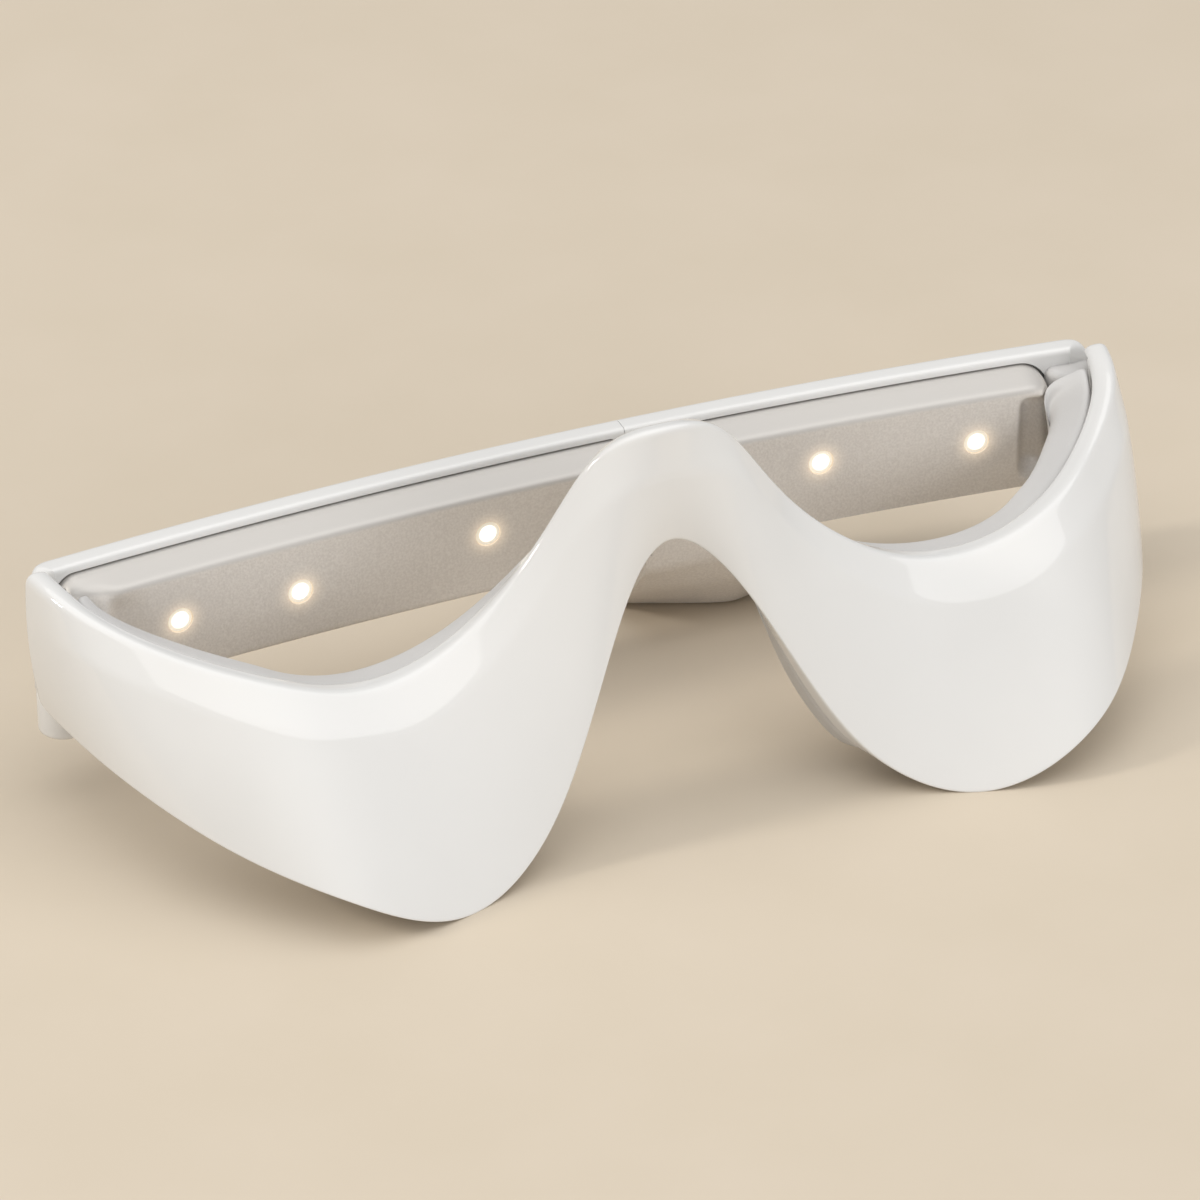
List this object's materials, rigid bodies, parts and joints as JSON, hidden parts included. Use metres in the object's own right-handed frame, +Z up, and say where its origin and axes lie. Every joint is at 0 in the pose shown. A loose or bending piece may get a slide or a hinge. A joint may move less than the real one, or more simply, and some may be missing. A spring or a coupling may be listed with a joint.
{
  "type": "led eye massager",
  "caption": "White glossy eye massager: two lobes over a nose bridge, and two hinged arms folded behind it, each with a grey padded panel of lit windows. A control pod hangs on the right arm.",
  "frame": {"origin": "middle of the footprint at floor level, with the object lying as in the picture, arms folded", "axes": "+X to the viewer's right, +Y from the front shell back to the arms, +Z up"},
  "size_m": [0.1651, 0.0746, 0.0554],
  "materials": {
    "gloss_abs": "glossy white moulded shell",
    "liner_silicone": "soft satin grey liner",
    "pad_skin": "satin silver grey padded skin",
    "pod_satin": "satin silver grey moulding",
    "lit_window": "clear light guide, lit warm white",
    "steel": "plain bright steel",
    "board": "white coated circuit board",
    "amber_film": "amber heater film and flat cable",
    "battery_wrap": "silver pouch with tape"
  },
  "bodies": {
    "front": {"front_shell": "gloss_abs", "front_liner": "liner_silicone", "bridge_flat_cable": "amber_film", "left_heater_film": "amber_film", "left_eye_motor": "steel", "right_heater_film": "amber_film", "right_eye_motor": "steel"},
    "left_arm": {"left_arm_shell": "gloss_abs", "left_arm_pad": "pad_skin", "left_led_board": "board", "left_hinge_pin": "steel", "left_tip_magnet": "steel", "left_led_window_1": "lit_window", "left_led_window_2": "lit_window", "left_led_window_3": "lit_window"},
    "right_arm": {"right_arm_shell": "gloss_abs", "right_arm_pad": "pad_skin", "right_led_board": "board", "right_hinge_pin": "steel", "right_tip_magnet": "steel", "right_led_window_1": "lit_window", "right_led_window_2": "lit_window", "right_led_window_3": "lit_window", "pod_case": "pod_satin", "pod_cover": "gloss_abs", "button_switch": "steel", "status_light": "lit_window", "charging_port": "steel", "control_board": "board", "battery": "battery_wrap", "pod_screw_1": "steel", "pod_screw_2": "steel"},
    "power_button": {"power_button": "gloss_abs"}
  },
  "joints": [
    {"name": "left_hinge", "type": "hinge", "parent": "front", "child": "left_arm", "pos_m": [-0.077, 0.01797, 0.021], "axis": [0, 0, 1], "range_deg": [0, 95]},
    {"name": "right_hinge", "type": "hinge", "parent": "front", "child": "right_arm", "pos_m": [0.077, 0.01797, 0.021], "axis": [0, 0, -1], "range_deg": [0, 95]},
    {"name": "power_press", "type": "slide", "parent": "right_arm", "child": "power_button", "axis": [0, -1, 0], "range_m": [0, 0.0008], "stiffness_N_per_m": 600, "springref_m": -0.0005}
  ]
}
